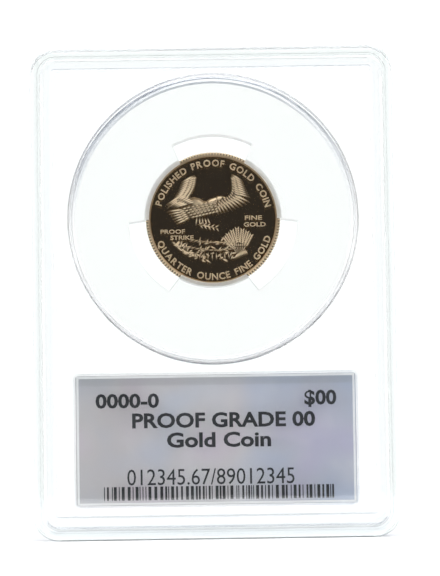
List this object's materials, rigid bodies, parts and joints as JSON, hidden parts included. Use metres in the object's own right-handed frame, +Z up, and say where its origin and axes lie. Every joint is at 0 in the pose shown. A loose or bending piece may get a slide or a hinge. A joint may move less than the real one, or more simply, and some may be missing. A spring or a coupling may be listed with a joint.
{
  "type": "graded coin slab",
  "caption": "Clear upright coin holder: two welded halves with stacking ridges, a round coin chamber, a pronged insert that grips a gold coin, and a label window below.",
  "frame": {"origin": "on the surface the holder stands on, midway between its sides and between its front and back faces", "axes": "+Z up along the holder's long side, -Y out of the front face that shows the coin and the label, +X to the right as seen from the front"},
  "size_m": [0.0596, 0.0078, 0.0802],
  "materials": {
    "clear_shell": "clear, polished, water-white polystyrene",
    "clear_insert": "clear, slightly soft-looking plastic",
    "proof_gold": "proof gold: mirror field with frosted relief",
    "printed_card": "printed pale grey-blue card with black print",
    "seal_foil": "holographic foil"
  },
  "bodies": {
    "root": {"front_shell": "clear_shell", "back_shell": "clear_shell", "coin_insert": "clear_insert", "coin": "proof_gold", "label_card": "printed_card", "security_seal": "seal_foil"}
  },
  "joints": []
}
